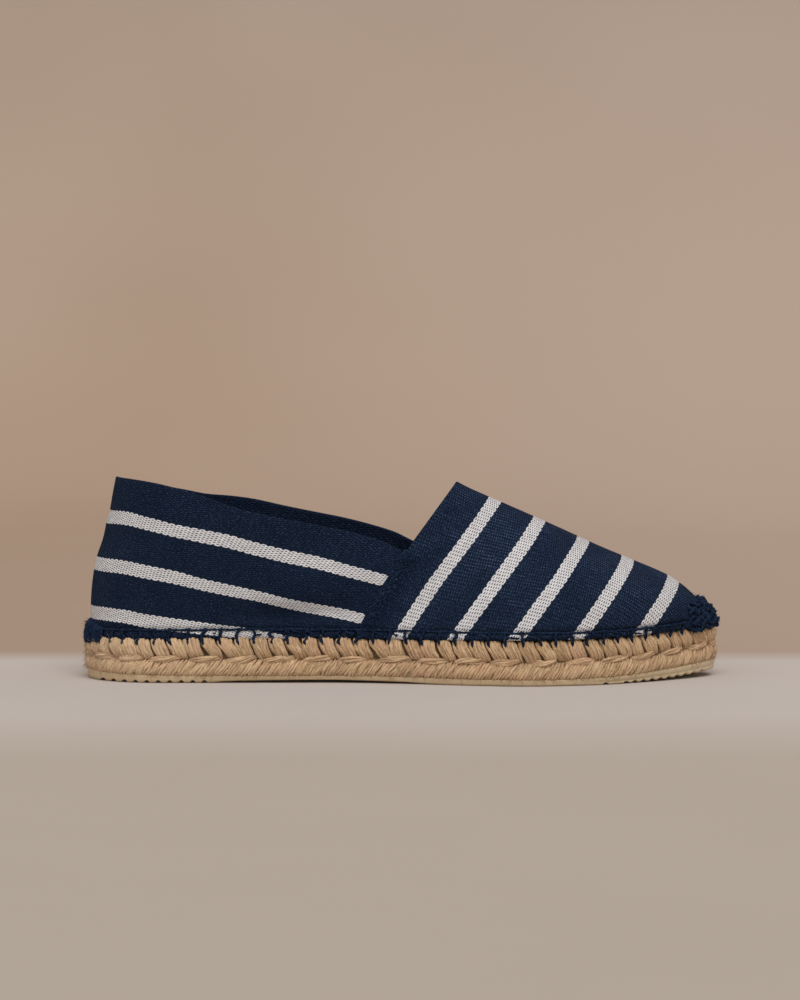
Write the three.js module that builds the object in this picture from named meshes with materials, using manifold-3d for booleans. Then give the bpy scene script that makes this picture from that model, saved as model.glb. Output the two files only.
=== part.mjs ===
// Espadrille for the right foot: a moulded rubber outsole, a coiled jute sole, a thin insole and a canvas
// upper made of a vamp laid over a heel quarter, with a hand-sewn yarn guard over the toe.
// Millimetres. +X runs to the toe, +Z up, and -Y is the outer side of the foot. The origin is the
// bottom centre of the shoe's bounding box.
import * as THREE from 'three';
import { mergeVertices } from 'three/addons/utils/BufferGeometryUtils.js';
import Module from 'manifold-3d';

const wasm = await Module();
wasm.setup();

// ---------------------------------------------------------------- driving dimensions
const LENGTH = 265; // sole, heel to toe
const BALL_WIDTH = 92.5; // sole across the ball of the foot
const HEEL_RADIUS = 34; // round of the sole behind the heel
const TOE_ROUND = 85; // length over which the sole rounds off to its tip
const CANVAS = 1.5; // thickness of the heavy cotton canvas
const UPPER_INSET = 3.0; // the quarter's face stands this far in from the edge of the jute
const INSOLE_THICKNESS = 1.5;
const GUARD_THICKNESS = 1.3; // yarn sewn over the toe
const GAP = 0.3; // between two pieces that touch
const THROAT_LEAN = THREE.MathUtils.degToRad(53); // of the vamp's back edge, from the floor
const SEAM_OVERLAP = 10; // the quarter runs this far under the vamp
const TUCK = 2; // cloth laid below the hem, which the flat cut along the sole then takes off

// The sole in plan: half-widths before the two ends are rounded, as shares of the ball width.
const PLAN = [
  { at: 0.0, outer: 0.352, inner: 0.346, axis: 0.0 },
  { at: 0.13, outer: 0.353, inner: 0.344, axis: 0.0 },
  { at: 0.26, outer: 0.348, inner: 0.325, axis: 0.0 },
  { at: 0.38, outer: 0.345, inner: 0.298, axis: 0.0 },
  { at: 0.5, outer: 0.39, inner: 0.34, axis: 0.0 },
  { at: 0.6, outer: 0.465, inner: 0.425, axis: 0.0 },
  { at: 0.69, outer: 0.508, inner: 0.488, axis: 0.2 },
  { at: 0.79, outer: 0.492, inner: 0.5, axis: 1.0 },
  { at: 0.88, outer: 0.44, inner: 0.468, axis: 2.6 },
  { at: 0.95, outer: 0.375, inner: 0.43, axis: 4.0 },
  { at: 1.0, outer: 0.33, inner: 0.41, axis: 4.8 },
];

// The sole from the side: the heights of the outsole's foot, its top edge and the jute's top edge.
const SIDE = [
  { at: 0.0, foot: 0.0, rubber: 4.8, jute: 16.4 },
  { at: 0.05, foot: 0.0, rubber: 3.8, jute: 16.8 },
  { at: 0.18, foot: 0.0, rubber: 3.1, jute: 17.2 },
  { at: 0.26, foot: 0.6, rubber: 3.0, jute: 17.4 },
  { at: 0.38, foot: 0.9, rubber: 3.1, jute: 17.6 },
  { at: 0.5, foot: 0.5, rubber: 3.0, jute: 17.8 },
  { at: 0.58, foot: 0.0, rubber: 2.7, jute: 18.0 },
  { at: 0.72, foot: 0.0, rubber: 2.7, jute: 18.3 },
  { at: 0.81, foot: 0.0, rubber: 3.1, jute: 18.7 },
  { at: 0.9, foot: 0.7, rubber: 4.6, jute: 19.6 },
  { at: 1.0, foot: 2.9, rubber: 7.4, jute: 21.8 },
];

// The wall of the upper above each station of its hem. crown is how high the two sides would meet,
// lean how far the wall runs forward for each millimetre up, and fullness the power of its arch.
const COT = 1 / Math.tan(THROAT_LEAN);
const WALL = [
  { at: 0.0, crown: 112, lean: 0.1, fullness: 2.2 },
  { at: 0.09, crown: 110, lean: 0.12, fullness: 2.2 },
  { at: 0.19, crown: 98, lean: 0.25, fullness: 2.15 },
  { at: 0.3, crown: 79, lean: 0.5, fullness: 2.05 },
  { at: 0.38, crown: 65.3, lean: COT, fullness: 1.95 },
  { at: 0.406, crown: 62.2, lean: COT, fullness: 1.9 },
  { at: 0.497, crown: 53.8, lean: COT, fullness: 1.9 },
  { at: 0.595, crown: 45.0, lean: COT, fullness: 1.9 },
  { at: 0.692, crown: 36.4, lean: COT, fullness: 1.9 },
  { at: 0.788, crown: 27.9, lean: COT, fullness: 1.9 },
  { at: 0.861, crown: 21.2, lean: COT, fullness: 1.9 },
  { at: 0.898, crown: 16.6, lean: COT, fullness: 1.9 },
  { at: 0.934, crown: 11.2, lean: COT, fullness: 1.9 },
  { at: 0.964, crown: 6.2, lean: COT, fullness: 1.9 },
  { at: 0.988, crown: 2.2, lean: COT, fullness: 1.9 },
  { at: 1.0, crown: 0.5, lean: COT, fullness: 1.9 },
];

// The top edge of the quarter, on the two sides of the foot.
const COLLAR = [
  { at: 0.045, outer: 83.0, inner: 83.0 },
  { at: 0.115, outer: 79.1, inner: 79.6 },
  { at: 0.19, outer: 75.1, inner: 76.0 },
  { at: 0.27, outer: 70.7, inner: 72.7 },
  { at: 0.34, outer: 66.4, inner: 68.9 },
  { at: 0.405, outer: 62.4, inner: 65.0 },
  { at: 0.455, outer: 58.2, inner: 60.9 },
  { at: 0.5, outer: 54.0, inner: 56.5 },
  { at: 0.53, outer: 51.0, inner: 52.6 },
  { at: 0.57, outer: 47.0, inner: 48.0 },
];
const THROAT_STATION = 0.406; // of the hem, where the line of the vamp's back edge would reach it
const THROAT_CURL = 5.7; // how far forward that edge curves before it does
const GUARD_LENGTH = 17; // how far the yarn over the toe reaches back from the tip
const GUARD_STATION = 0.85; // of the hem, behind the yarn's back edge

// ---------------------------------------------------------------- helpers
// A smooth value between the rows of a table, by cubic spans that never overshoot a row.
function read(table, column, share) {
  const last = table.length - 1;
  const x = THREE.MathUtils.clamp(share, table[0].at, table[last].at);
  let i = 0;
  while (i < last - 1 && x > table[i + 1].at) i += 1;
  const slope = (a, b) => (table[b][column] - table[a][column]) / (table[b].at - table[a].at);
  const tangent = (k) => {
    if (k === 0) return slope(0, 1);
    if (k === last) return slope(last - 1, last);
    const [before, after] = [slope(k - 1, k), slope(k, k + 1)];
    return before * after > 0 ? (2 * before * after) / (before + after) : 0;
  };
  const span = table[i + 1].at - table[i].at;
  const t = (x - table[i].at) / span;
  return (
    (2 * t ** 3 - 3 * t ** 2 + 1) * table[i][column] +
    (t ** 3 - 2 * t ** 2 + t) * span * tangent(i) +
    (3 * t ** 2 - 2 * t ** 3) * table[i + 1][column] +
    (t ** 3 - t ** 2) * span * tangent(i + 1)
  );
}

// Stations from 0 to 1 that crowd towards both ends, where the outline turns fastest.
function crowded(count) {
  return Array.from({ length: count + 1 }, (_, i) => (1 - Math.cos((Math.PI * i) / count)) / 2);
}

// The outline's edge at station x on one side, drawn in by inset.
function edge(side, x, inset) {
  const heel = THREE.MathUtils.clamp((x - inset) / (HEEL_RADIUS - inset), 0, 1);
  const toe = THREE.MathUtils.clamp((LENGTH - inset - x) / (TOE_ROUND - inset), 0, 1);
  const rounding = Math.sqrt(1 - (1 - heel) ** 2) * Math.sqrt(1 - (1 - toe) ** 2);
  const half = read(PLAN, side, x / LENGTH) * BALL_WIDTH - inset;
  return read(PLAN, 'axis', x / LENGTH) + (side === 'outer' ? -1 : 1) * half * rounding;
}

// One closed ring of the outline, heel tip first, along the outer side and back along the inner.
function ring(inset, height, stations = crowded(46)) {
  const points = (side) =>
    stations.map((s) => {
      const x = inset + (LENGTH - 2 * inset) * s;
      return new THREE.Vector3(x, edge(side, x, inset), height(x / LENGTH));
    });
  return [...points('outer'), ...points('inner').reverse().slice(1, -1)];
}

// A geometry from points and triangles of their indices, without the triangles that have no area.
function geometryOf(points, triangles) {
  const raw = new THREE.BufferGeometry();
  raw.setAttribute('position', new THREE.Float32BufferAttribute(points.flatMap((p) => p.toArray()), 3));
  raw.setIndex(triangles.flat());
  const merged = mergeVertices(raw, 1e-3);
  const index = merged.index.array;
  const kept = [];
  for (let i = 0; i < index.length; i += 3) {
    const [a, b, c] = [index[i], index[i + 1], index[i + 2]];
    if (a !== b && b !== c && a !== c) kept.push(a, b, c);
  }
  merged.setIndex(kept);
  return merged;
}

function toSolid(geometry) {
  const mesh = new wasm.Mesh({
    numProp: 3,
    vertProperties: new Float32Array(geometry.attributes.position.array),
    triVerts: new Uint32Array(geometry.index.array),
  });
  return new wasm.Manifold(mesh);
}

// The solid's largest body. What a cut leaves loose beside it is dropped.
function toGeometry(solid) {
  const bodies = solid.decompose().sort((a, b) => b.volume() - a.volume());
  const mesh = bodies[0].getMesh();
  const geometry = new THREE.BufferGeometry();
  geometry.setAttribute('position', new THREE.BufferAttribute(mesh.vertProperties, 3));
  geometry.setIndex(new THREE.BufferAttribute(mesh.triVerts, 1));
  return geometry;
}

// A closed solid through rings stacked from the bottom up. Its two caps are strips across the shoe.
function stack(rings) {
  const size = rings[0].length;
  const points = rings.flat();
  const triangles = [];
  for (let r = 0; r < rings.length - 1; r += 1) {
    for (let i = 0; i < size; i += 1) {
      const j = (i + 1) % size;
      const [a, b, c, d] = [r * size + i, r * size + j, (r + 1) * size + i, (r + 1) * size + j];
      triangles.push([a, b, d], [a, d, c]);
    }
  }
  const top = (rings.length - 1) * size;
  for (let i = 0; i < size / 2; i += 1) {
    const [a, b, c, d] = [i, i + 1, (size - i) % size, size - i - 1];
    triangles.push([a, c, b], [b, c, d]);
    triangles.push([top + a, top + b, top + c], [top + b, top + d, top + c]);
  }
  return geometryOf(points, triangles);
}

// ---------------------------------------------------------------- the last
// A point on the wall of the upper: side, station of the hem from heel 0 to toe 1, share of the height
// at which the two sides would meet, and how far out from the wall's own face the point stands.
function onWall(side, station, share, out = 0) {
  const inset = UPPER_INSET - out;
  const x = inset + (LENGTH - 2 * inset) * station;
  const hem = read(SIDE, 'jute', x / LENGTH) + GAP;
  const centre = (edge('outer', x, inset) + edge('inner', x, inset)) / 2;
  const nose = Math.sqrt(Math.min(1, (1 - station) / 0.06)); // at the tip the wall's face looks ahead
  const rise = (read(WALL, 'crown', station) + out * nose) * share;
  const power = read(WALL, 'fullness', station);
  const narrowing = (1 - share ** power) ** (1 / power);
  const heelReach = 0.19 * LENGTH; // behind this the walls close in towards the middle of the heel
  const anchor = x < heelReach ? heelReach / 2 + x ** 2 / (2 * heelReach) : x;
  return new THREE.Vector3(
    anchor + (x - anchor) * narrowing + read(WALL, 'lean', station) * rise,
    centre + (edge(side, x, inset) - centre) * narrowing,
    hem + rise,
  );
}

// The share of its height at which a station's wall reaches the collar.
function collarShare(side, station, out) {
  let low = 0;
  let high = 0.98;
  for (let i = 0; i < 40; i += 1) {
    const middle = (low + high) / 2;
    const p = onWall(side, station, middle, out);
    if (p.z < read(COLLAR, side, p.x / LENGTH)) low = middle;
    else high = middle;
  }
  return low;
}

// A closed sheet of cloth between two grids of points. The last row of a folded sheet is a fold, where
// the two halves of the row lie on each other and the sheet needs no rim.
function cloth(outer, inner, folded = false) {
  const rows = outer.length;
  const columns = outer[0].length;
  const below = rows * columns;
  const id = (r, c) => r * columns + c;
  const triangles = [];
  const quad = (a, b, c, d) => triangles.push([a, b, c], [a, c, d]);
  for (let r = 0; r < rows - 1; r += 1) {
    for (let c = 0; c < columns - 1; c += 1) {
      const corners = [id(r, c), id(r, c + 1), id(r + 1, c + 1), id(r + 1, c)];
      quad(...corners);
      quad(...corners.map((k) => k + below).reverse());
    }
  }
  const rim = (a, b) => quad(a, a + below, b + below, b);
  for (let c = 0; c < columns - 1; c += 1) {
    rim(id(0, c), id(0, c + 1));
    if (!folded) rim(id(rows - 1, c + 1), id(rows - 1, c));
  }
  for (let r = 0; r < rows - 1; r += 1) {
    rim(id(r + 1, 0), id(r, 0));
    rim(id(r, columns - 1), id(r + 1, columns - 1));
  }
  return toSolid(geometryOf([...outer.flat(), ...inner.flat()], triangles));
}

const tuck = (p) => p.clone().setZ(p.z - TUCK);

// Rows of the vamp, each over the foot from one hem to the other, from a station of the hem to the toe.
function vampGrid(from, out, rows, columns) {
  return Array.from({ length: rows + 1 }, (_, r) => {
    const share = r / rows;
    const station = from + (1 - from) * (1 - (1 - share) ** 1.3);
    const curl = from === THROAT_STATION ? (THROAT_CURL / LENGTH) * (1 - share) ** 6 : 0;
    const across = Array.from({ length: columns + 1 }, (__, c) => {
      const angle = (Math.PI * c) / columns;
      const side = angle < Math.PI / 2 ? 'inner' : 'outer';
      const lift = Math.sin(angle) ** (2 / read(WALL, 'fullness', station));
      const near = Math.max(0, 1 - lift / 0.5) ** 2;
      return onWall(side, Math.min(station + curl * near, 1), Math.min(lift, 1), out);
    });
    return [tuck(across[0]), ...across, tuck(across[columns])];
  });
}

// Columns of the quarter from its outer front end, round the heel, to its inner front end.
function quarterGrid(out, columns, rows) {
  const front = THROAT_STATION + SEAM_OVERLAP / LENGTH;
  return Array.from({ length: 2 * columns + 1 }, (_, i) => {
    const share = Math.abs(i - columns) / columns;
    const station = front * (1 - Math.cos((Math.PI / 2) * share));
    const side = i < columns ? 'outer' : 'inner';
    const top = collarShare(side, station, out);
    const wall = Array.from({ length: rows + 1 }, (__, r) => onWall(side, station, (top * r) / rows, out));
    return [tuck(wall[0]), ...wall];
  });
}

// ---------------------------------------------------------------- pieces
const height = (column, lift = 0) => (share) => read(SIDE, column, share) + lift;

function outsoleGeometry() {
  const body = toSolid(
    stack([
      ring(2.2, height('foot')),
      ring(1.1, height('foot', 0.7)),
      ring(0.9, height('rubber', -0.6)),
      ring(1.4, height('rubber')),
    ]),
  );
  return toGeometry(treads().reduce((solid, cut) => solid.subtract(cut), body));
}

// Grooves across the heel and the forefoot of the outsole.
function treads() {
  const depth = 1.0;
  const bands = [
    { from: 8, to: 54, pitch: 4.6 },
    { from: 216, to: 254, pitch: 4.2 },
  ];
  return bands.flatMap(({ from, to, pitch }) => {
    const count = Math.floor((to - from) / pitch);
    return Array.from({ length: count + 1 }, (_, i) => {
      const x = from + i * pitch;
      const floor = read(SIDE, 'foot', x / LENGTH);
      const shape = new THREE.Shape([
        new THREE.Vector2(-1.5, -2.0),
        new THREE.Vector2(1.5, -2.0),
        new THREE.Vector2(0, depth),
      ]);
      const bar = new THREE.ExtrudeGeometry(shape, { depth: BALL_WIDTH + 20, bevelEnabled: false });
      bar.rotateX(Math.PI / 2);
      bar.translate(x, BALL_WIDTH / 2 + 10, floor);
      bar.deleteAttribute('normal');
      bar.deleteAttribute('uv');
      return toSolid(mergeVertices(bar, 1e-3));
    });
  });
}

// The braid stands on edge, so its side shows two swellings with a groove between them.
function juteGeometry() {
  const between = (share) => (s) => {
    const low = read(SIDE, 'rubber', s) + GAP;
    return low + (read(SIDE, 'jute', s) - low) * share;
  };
  const swell = [
    { up: 0.0, inset: 1.5 },
    { up: 0.12, inset: 0.6 },
    { up: 0.28, inset: 0.2 },
    { up: 0.44, inset: 0.9 },
    { up: 0.52, inset: 1.3 },
    { up: 0.6, inset: 0.8 },
    { up: 0.75, inset: 0.0 },
    { up: 0.9, inset: 0.5 },
    { up: 1.0, inset: 1.8 },
  ];
  return stack(swell.map(({ up, inset }) => ring(inset, between(up))));
}

function insoleGeometry() {
  const inset = UPPER_INSET + CANVAS + 1.0;
  return stack([
    ring(inset, height('jute', GAP)),
    ring(inset, height('jute', GAP + INSOLE_THICKNESS * 0.7)),
    ring(inset + 0.5, height('jute', GAP + INSOLE_THICKNESS)),
  ]);
}

// Everything lower than the upper's hem, which lies just above the jute.
function belowHem(lift) {
  return toSolid(stack([ring(-12, height('jute', -40)), ring(-12, height('jute', lift))]));
}

// The vamp lies over the front ends of the quarter, and the seam makes one hollow piece of them.
function upperGeometry() {
  const vamp = cloth(
    vampGrid(THROAT_STATION, CANVAS, 26, 30),
    vampGrid(THROAT_STATION, -0.2, 26, 30),
    true,
  );
  const quarter = cloth(quarterGrid(0, 19, 8), quarterGrid(-CANVAS, 19, 8));
  return toGeometry(vamp.add(quarter).subtract(belowHem(GAP)));
}

// Rows of yarn sewn over the toe, standing proud of the vamp.
function guardGeometry() {
  const face = CANVAS + GAP;
  const guard = cloth(
    vampGrid(GUARD_STATION, face + GUARD_THICKNESS, 12, 20),
    vampGrid(GUARD_STATION, face, 12, 20),
    true,
  );
  const front = new THREE.BoxGeometry(60, 120, 120);
  front.deleteAttribute('normal');
  front.deleteAttribute('uv');
  front.translate(LENGTH - GUARD_LENGTH + 30, 0, 40);
  const keep = toSolid(mergeVertices(front, 1e-3));
  return toGeometry(guard.intersect(keep).subtract(belowHem(2 * GAP)));
}

// ---------------------------------------------------------------- assembly
const shoe = new THREE.Group();

function addPiece(name, geometry, color, roughness) {
  geometry.computeVertexNormals();
  const material = new THREE.MeshStandardMaterial({ color, roughness, metalness: 0 });
  const mesh = new THREE.Mesh(geometry, material);
  mesh.name = name;
  shoe.add(mesh);
}

addPiece('outsole', outsoleGeometry(), 0xc2ab84, 0.7);
addPiece('jute_sole', juteGeometry(), 0xb58e63, 0.95);
addPiece('insole', insoleGeometry(), 0xc9b48f, 0.95);
addPiece('upper', upperGeometry(), 0x17233f, 0.9);
addPiece('toe_guard', guardGeometry(), 0x16264a, 0.9);

const box = new THREE.Box3().setFromObject(shoe);
shoe.position.set(-(box.min.x + box.max.x) / 2, -(box.min.y + box.max.y) / 2, -box.min.z);

export default shoe;
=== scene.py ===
# Looks of a striped canvas espadrille: woven canvas, hand-sewn yarn, braided jute and a thin rubber sole.
# Sizes are in millimetres from the back of the sole and turn to metres as each mesh is made.
# -Y is the outer side of this right shoe.
import math

import bmesh
import bpy
import numpy as np
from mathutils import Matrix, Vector


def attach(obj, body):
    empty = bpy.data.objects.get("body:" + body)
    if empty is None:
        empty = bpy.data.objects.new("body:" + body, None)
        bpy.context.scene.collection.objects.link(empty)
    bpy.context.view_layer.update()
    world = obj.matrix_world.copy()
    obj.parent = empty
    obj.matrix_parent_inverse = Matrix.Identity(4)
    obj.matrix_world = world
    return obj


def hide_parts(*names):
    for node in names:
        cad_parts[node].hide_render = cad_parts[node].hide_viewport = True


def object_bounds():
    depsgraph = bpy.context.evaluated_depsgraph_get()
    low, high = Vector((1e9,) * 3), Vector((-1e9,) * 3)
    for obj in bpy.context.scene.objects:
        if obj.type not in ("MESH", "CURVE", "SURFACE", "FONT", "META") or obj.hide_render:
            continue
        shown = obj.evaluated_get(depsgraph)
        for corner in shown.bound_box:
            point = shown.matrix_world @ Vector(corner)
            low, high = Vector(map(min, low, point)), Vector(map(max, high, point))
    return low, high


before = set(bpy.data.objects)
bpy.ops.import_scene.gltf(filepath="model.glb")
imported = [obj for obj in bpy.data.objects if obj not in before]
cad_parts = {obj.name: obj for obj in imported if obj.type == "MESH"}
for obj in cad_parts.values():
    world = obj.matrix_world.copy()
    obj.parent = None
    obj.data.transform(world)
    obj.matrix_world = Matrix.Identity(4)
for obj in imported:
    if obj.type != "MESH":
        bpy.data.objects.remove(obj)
CAD_BOX = [list(c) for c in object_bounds()]
MM = 0.001
Z = np.array([0, 0, 1.0])
rng = np.random.default_rng(11)
uniform, normal = rng.uniform, rng.normal

# ---- the shoe's own sizes
LENGTH, BALL_WIDTH, HEEL_RADIUS, TOE_ROUND = 265.0, 92.5, 34.0, 85.0
INSET = 3.0          # the quarter's face stands this far in from the edge of the jute
CLOTH = 1.3          # canvas thickness as seen at its edges
PROUD = 1.5          # the vamp's face outside the quarter's
GAP = 0.3            # between the jute and the canvas
THROAT, CURL = 0.406, 5.7
REPEAT = 20.3        # from one white stripe to the next
REPEAT_THREADS = 44  # warp threads in a repeat
WHITE_THREADS = 12   # and how many of them are white
THREAD = REPEAT / REPEAT_THREADS
PICK = 1.47          # from one weft thread to the next
LOBE = 6.86          # about the width of a lobe of the braid, with a stitch to each
TWIST = 15.6         # about the length of a twist of the braid's middle row
LEG_PHASE = 0.15     # where a stitch stands between two lobes
HEEL_WRAP = 23       # how far the overcast yarn goes to either side of the heel
COT = 1 / math.tan(math.radians(53))


def table(**columns):
    return {name: np.array(values, float) for name, values in columns.items()}


PLAN = table(at=[0, .13, .26, .38, .5, .6, .69, .79, .88, .95, 1],
             outer=[.352, .353, .348, .345, .39, .465, .508, .492, .44, .375, .33],
             inner=[.346, .344, .325, .298, .34, .425, .488, .5, .468, .43, .41],
             axis=[0, 0, 0, 0, 0, 0, .2, 1, 2.6, 4, 4.8])
SIDE = table(at=[0, .05, .18, .26, .38, .5, .58, .72, .81, .9, 1],
             foot=[0, 0, 0, .6, .9, .5, 0, 0, 0, .7, 2.9],
             rubber=[4.8, 3.8, 3.1, 3, 3.1, 3, 2.7, 2.7, 3.1, 4.6, 7.4],
             jute=[16.4, 16.8, 17.2, 17.4, 17.6, 17.8, 18, 18.3, 18.7, 19.6, 21.8])
WALL = table(at=[0, .09, .19, .3, .38, .406, .497, .595, .692, .788, .861, .898, .934, .964, .988, 1],
             crown=[112, 110, 98, 79, 65.3, 62.2, 53.8, 45, 36.4, 27.9, 21.2, 16.6, 11.2, 6.2, 2.2, .5],
             lean=[.1, .12, .25, .5] + [COT] * 12,
             fullness=[2.2, 2.2, 2.15, 2.05, 1.95] + [1.9] * 11)
COLLAR = table(at=[.045, .08, .115, .15, .19, .22, .255, .31, .363, .405, .443, .488, .512, .57],
               outer=[83.4, 82.6, 81.3, 79.3, 76.2, 73.3, 70, 67, 64.3, 62, 59.7, 55.2, 51.6, 46],
               inner=[82.9, 80.9, 78.9, 77.2, 75.2, 74.5, 73.3, 70.3, 67.6, 65.5, 63.1, 59.5, 56.4, 48.5])
# How far the sewing yarn runs above the jute, and the braid's lobes rise above the sole's edge line.
HEMS = table(at=[0, .25, .5, .72, .86, 1],
             line=[4.2, 4.1, 3.5, 2.9, 2.8, 3.4],
             lobe=[.4, .3, -.2, -.7, -.5, .2])
# Upper edges of the quarter's white stripes, by distance from the heel.
BANDS = table(at=[0, 16.5, 29, 40, 52, 63, 75, 86, 97, 109, 120, 135],
              one=[69.9, 69.5, 67.1, 64.4, 62.1, 59.8, 56.5, 53.9, 51.5, 48.2, 45.3, 41.5],
              two=[50.4, 49.5, 47.6, 45.4, 42.0, 39.6, 36.9, 34.1, 32.0, 29.8, 27.2, 24.0],
              three=[30.1, 29.5, 27.6, 26.0, 24.3, 22.9, 21.2, 18.9, 16.5, 14.0, 11.0, 8.0])
# Stations of the hem where the vamp's white stripes start.
STRIPES = table(at=[.377, .472, .567, .661, .757, .858, .965],
                along=[-REPEAT, 0, REPEAT, 2 * REPEAT, 3 * REPEAT, 4 * REPEAT, 5 * REPEAT])


def read(t, column, s):
    """A smooth value between a table's rows that never overshoots them."""
    at, v = t["at"], t[column]
    s = np.clip(np.asarray(s, float), at[0], at[-1])
    d = np.diff(v) / np.diff(at)
    m = np.zeros(len(v))
    m[0], m[-1] = d[0], d[-1]
    a, b = d[:-1], d[1:]
    ok = a * b > 0
    m[1:-1][ok] = 2 * a[ok] * b[ok] / (a + b)[ok]
    i = np.clip(np.searchsorted(at, s) - 1, 0, len(at) - 2)
    h = at[i + 1] - at[i]
    t_ = (s - at[i]) / h
    return ((2 * t_**3 - 3 * t_**2 + 1) * v[i] + (t_**3 - 2 * t_**2 + t_) * h * m[i]
            + (3 * t_**2 - 2 * t_**3) * v[i + 1] + (t_**3 - t_**2) * h * m[i + 1])


def level_of(column, x):
    """Height of one of the sole's lines at a distance from the heel."""
    return read(SIDE, column, x / LENGTH)


def lobe_top(x):
    return level_of("jute", x) + read(HEMS, "lobe", x / LENGTH)


def bump(x, centre, width):
    return np.exp(-(((x - centre) / width) ** 2))


def ease(x, low, high):
    t = np.clip((x - low) / (high - low), 0, 1)
    return t * t * (3 - 2 * t)


def unit(v):
    return v / np.maximum(np.linalg.norm(v, axis=-1, keepdims=True), 1e-9)


def run_of(points, axis=0):
    """Length covered along a line, or along each line of a grid, up to each point."""
    steps = np.linalg.norm(np.diff(points, axis=axis), axis=-1)
    start = np.zeros_like(np.take(steps, [0], axis))
    return np.concatenate([start, np.cumsum(steps, axis)], axis)


def ripple(x, y, scale, seed, octaves=2):
    """Smooth seeded unevenness from a few waves in turned directions, about -1 to 1."""
    g = np.random.default_rng(seed)
    out = 0
    for k in range(octaves * 3):
        a, f = g.uniform(0, math.tau), (1.6 ** (k // 3)) / scale
        wave = np.sin((x * math.cos(a) + y * math.sin(a)) * f * math.tau + g.uniform(0, math.tau))
        out = out + wave / (k // 3 + 1)
    return out / (octaves * 1.7)


# ---- the last
def edge(side, x, inset):
    """The sole's outline in plan on one side, moved in by inset."""
    heel = np.clip((x - inset) / (HEEL_RADIUS - inset), 0, 1)
    toe = np.clip((LENGTH - inset - x) / (TOE_ROUND - inset), 0, 1)
    rounding = np.sqrt(1 - (1 - heel) ** 2) * np.sqrt(1 - (1 - toe) ** 2)
    half = read(PLAN, "outer" if side < 0 else "inner", x / LENGTH) * BALL_WIDTH - inset
    return read(PLAN, "axis", x / LENGTH) + side * half * rounding


def crown(s, out):
    """Height above the hem where the two sides would meet."""
    return read(WALL, "crown", s) + out * np.sqrt(np.minimum(1, (1 - s) / 0.06))


def wall(side, s, share, out=0.0):
    """A point on the upper, at a station of its hem and a share of its crown's height."""
    inset = INSET - out
    x = inset + (LENGTH - 2 * inset) * s
    hem = level_of("jute", x) + GAP
    left, right = edge(-1, x, inset), edge(1, x, inset)
    centre = (left + right) / 2
    rise = crown(s, out) * share
    power = read(WALL, "fullness", s)
    narrow = np.maximum(1 - share**power, 0) ** (1 / power)
    # Points near the heel close in on a line ahead of them, so that the back stays round.
    reach = 0.19 * LENGTH
    anchor = np.where(x < reach, reach / 2 + x * x / (2 * reach), x)
    own = left if side < 0 else right
    px = anchor + (x - anchor) * narrow + read(WALL, "lean", s) * rise
    px = px - 2.3 * (1 - np.clip(s / 0.13, 0, 1)) ** 2 * np.sin(np.pi * np.clip(rise / 52, 0, 1)) ** 0.8
    return np.stack([px, centre + (own - centre) * narrow, hem + rise], -1)


def spread(count):
    """Stations from 0 to 1 that crowd towards both ends."""
    return (1 - np.cos(np.linspace(0, np.pi, count))) / 2


def ring_at(x, outer_y, inner_y, *columns):
    """A closed ring from the heel along the outer side and back along the inner."""
    a = np.stack([x, outer_y, *columns], 1)
    b = np.stack([x, inner_y, *columns], 1)[::-1][1:-1]
    return np.concatenate([a, b])


_x = np.linspace(0, LENGTH, 4000)
SHIFT = np.array([CAD_BOX[0][0] / MM, -(edge(-1, _x, 0).min() + edge(1, _x, 0).max()) / 2, 0])
_x = LENGTH * spread(1500)
RIM = ring_at(_x, edge(-1, _x, 0), edge(1, _x, 0))
_loop = np.concatenate([RIM, RIM[:1]])
RIM_AT = run_of(_loop)
GIRTH = RIM_AT[-1]
LOBES = int(round(GIRTH / LOBE))
PITCH = GIRTH / LOBES


def rim(a, out=0.0):
    """Points beside the sole's edge at distance a along it, with the outward direction."""
    a = np.asarray(a, float)
    at = lambda v: np.stack([np.interp(v % GIRTH, RIM_AT, _loop[:, k]) for k in (0, 1)], -1)
    t = unit(at(a + 1.2) - at(a - 1.2))
    n = np.stack([t[..., 1], -t[..., 0]], -1)
    return at(a) + n * np.asarray(out)[..., None], n


def rim_place(xy):
    """How far along the sole's edge the nearest point to each xy lies."""
    found = np.empty(len(xy))
    batch = 4000
    for k in range(0, len(xy), batch):
        d = ((xy[k:k + batch, None] - RIM[None]) ** 2).sum(-1)
        found[k:k + batch] = RIM_AT[d.argmin(1)]
    return found


def leg_gap(a):
    """Distance along the edge to the nearest sewn stitch."""
    return (np.abs((a / PITCH - LEG_PHASE + 0.5) % 1 - 0.5)) * PITCH


# ---- meshes
def grid_faces(rows, cols, close_cols=False, flip=False):
    r, c = np.meshgrid(np.arange(rows - 1), np.arange(cols if close_cols else cols - 1), indexing="ij")
    r, c = r.ravel(), c.ravel()
    d = (c + 1) % cols
    q = np.stack([r * cols + c, r * cols + d, (r + 1) * cols + d, (r + 1) * cols + c], 1)
    return q[:, ::-1] if flip else q


def add(name, data):
    ob = bpy.data.objects.new(name, data)
    bpy.context.scene.collection.objects.link(ob)
    return ob


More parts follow.
